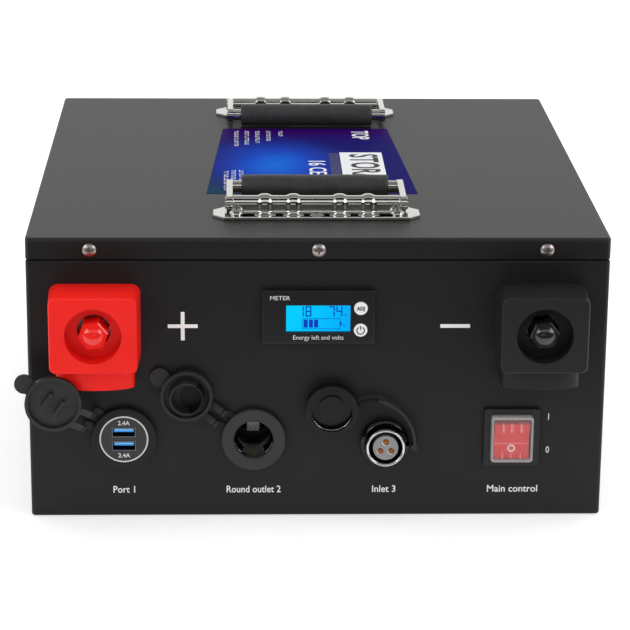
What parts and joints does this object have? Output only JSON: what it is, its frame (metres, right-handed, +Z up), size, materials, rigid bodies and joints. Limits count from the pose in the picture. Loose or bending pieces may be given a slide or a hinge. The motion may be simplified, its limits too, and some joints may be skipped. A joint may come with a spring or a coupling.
{
  "type": "deep cycle battery",
  "caption": "Rectangular sheet-metal battery box with screwed lid, two folding handles, covered terminals, meter, capped outlets and a booted power switch on one face.",
  "frame": {"origin": "centre of the case's underside", "axes": "+Z up, front panel faces -Y, +X to the right seen from the front"},
  "size_m": [0.3277, 0.3748, 0.1765],
  "materials": {
    "case_powder": "fine matt powder coat",
    "lid_powder": "fine matt powder coat",
    "screw_steel": "plated",
    "handle_chrome": "polished",
    "grip_rubber": "smooth matt",
    "label_print": "gloss laminate",
    "red_plastic": "semi-gloss moulding",
    "black_plastic": "moulded",
    "stud_steel": "plated",
    "brass": "plain",
    "copper": "bare",
    "meter_plastic": "fine texture",
    "button_white": "moulded",
    "lcd": "backlit",
    "board_green": "solder mask",
    "usb_steel": "plated",
    "usb_blue": "moulded",
    "cap_rubber": "matt",
    "shell_chrome": "polished",
    "insert_grey": "moulded",
    "rocker_red": "translucent",
    "boot_clear": "clear soft cover",
    "cell_blue": "shrink wrap",
    "aluminium": "extruded",
    "insulation": "fibre sheet",
    "cable_red": "insulation",
    "cable_black": "insulation"
  },
  "bodies": {
    "case": {"case_body": "case_powder", "case_lid": "lid_powder", "lid_screws": "screw_steel", "top_label": "label_print", "front_handle_plate": "handle_chrome", "rear_handle_plate": "handle_chrome", "handle_pins": "handle_chrome", "handle_screws": "screw_steel", "handle_nuts": "screw_steel", "positive_housing": "red_plastic", "negative_housing": "black_plastic", "positive_stud": "stud_steel", "negative_stud": "stud_steel", "positive_washer": "stud_steel", "negative_washer": "stud_steel", "terminal_insulators": "black_plastic", "terminal_rear_nuts": "brass", "meter_fascia": "meter_plastic", "meter_housing": "meter_plastic", "meter_lcd": "lcd", "meter_board": "board_green", "usb_body": "black_plastic", "usb_face": "black_plastic", "usb_shells": "usb_steel", "usb_tongues": "usb_blue", "usb_nut": "black_plastic", "usb_cap_ring": "cap_rubber", "socket_body": "black_plastic", "socket_shell": "shell_chrome", "socket_contact": "brass", "socket_nut": "black_plastic", "socket_cap_ring": "cap_rubber", "charge_shell": "shell_chrome", "charge_insert": "insert_grey", "charge_contacts": "copper", "charge_nut": "stud_steel", "charge_cap_ring": "cap_rubber", "switch_frame": "black_plastic", "switch_cover": "boot_clear", "switch_blades": "brass", "cells": "cell_blue", "busbars": "copper", "busbar_nuts": "stud_steel", "insulation_sheet": "insulation", "bms_heatsink": "aluminium", "bms_board": "board_green", "positive_cable": "cable_red", "negative_cable": "cable_black"},
    "front_handle": {"front_handle_bail": "handle_chrome", "front_handle_grip": "grip_rubber"},
    "rear_handle": {"rear_handle_bail": "handle_chrome", "rear_handle_grip": "grip_rubber"},
    "positive_nut": {"positive_nut": "red_plastic"},
    "negative_nut": {"negative_nut": "black_plastic"},
    "set_button": {"meter_set_button": "button_white"},
    "power_button": {"meter_power_button": "button_white"},
    "usb_cap": {"usb_cap": "cap_rubber"},
    "socket_cap": {"socket_cap": "cap_rubber"},
    "charge_cap": {"charge_cap": "cap_rubber"},
    "rocker": {"switch_rocker": "rocker_red"}
  },
  "joints": [
    {"name": "front_handle_fold", "type": "hinge", "parent": "case", "child": "front_handle", "pos_m": [0, -0.124, 0.1686], "axis": [1, 0, 0], "range_deg": [0, 95]},
    {"name": "rear_handle_fold", "type": "hinge", "parent": "case", "child": "rear_handle", "pos_m": [0, 0.124, 0.1686], "axis": [-1, 0, 0], "range_deg": [0, 95]},
    {"name": "positive_nut_turn", "type": "hinge", "parent": "case", "child": "positive_nut", "pos_m": [-0.1225, -0.1806, 0.1135], "axis": [0, -1, 0], "range_deg": [0, 1440]},
    {"name": "negative_nut_turn", "type": "hinge", "parent": "case", "child": "negative_nut", "pos_m": [0.1225, -0.1806, 0.1135], "axis": [0, -1, 0], "range_deg": [0, 1440]},
    {"name": "set_button_press", "type": "slide", "parent": "case", "child": "set_button", "axis": [0, 1, 0], "range_m": [0, 0.0005], "stiffness_N_per_m": 400, "springref_m": -0.0005},
    {"name": "power_button_press", "type": "slide", "parent": "case", "child": "power_button", "axis": [0, 1, 0], "range_m": [0, 0.0005], "stiffness_N_per_m": 400, "springref_m": -0.0005},
    {"name": "usb_cap_fold", "type": "hinge", "parent": "case", "child": "usb_cap", "pos_m": [-0.1263, -0.1854, 0.06005], "axis": [0.5732, 0, 0.8194], "range_deg": [0, 180]},
    {"name": "socket_cap_fold", "type": "hinge", "parent": "case", "child": "socket_cap", "pos_m": [-0.05405, -0.1776, 0.0592], "axis": [0.5739, 0, 0.8189], "range_deg": [0, 180]},
    {"name": "charge_cap_fold", "type": "hinge", "parent": "case", "child": "charge_cap", "pos_m": [0.02275, -0.1804, 0.05435], "axis": [0.5692, 0, 0.8222], "range_deg": [0, 180]},
    {"name": "rocker_tilt", "type": "hinge", "parent": "case", "child": "rocker", "pos_m": [0.1085, -0.171, 0.047], "axis": [-1, 0, 0], "range_deg": [0, 16]}
  ]
}
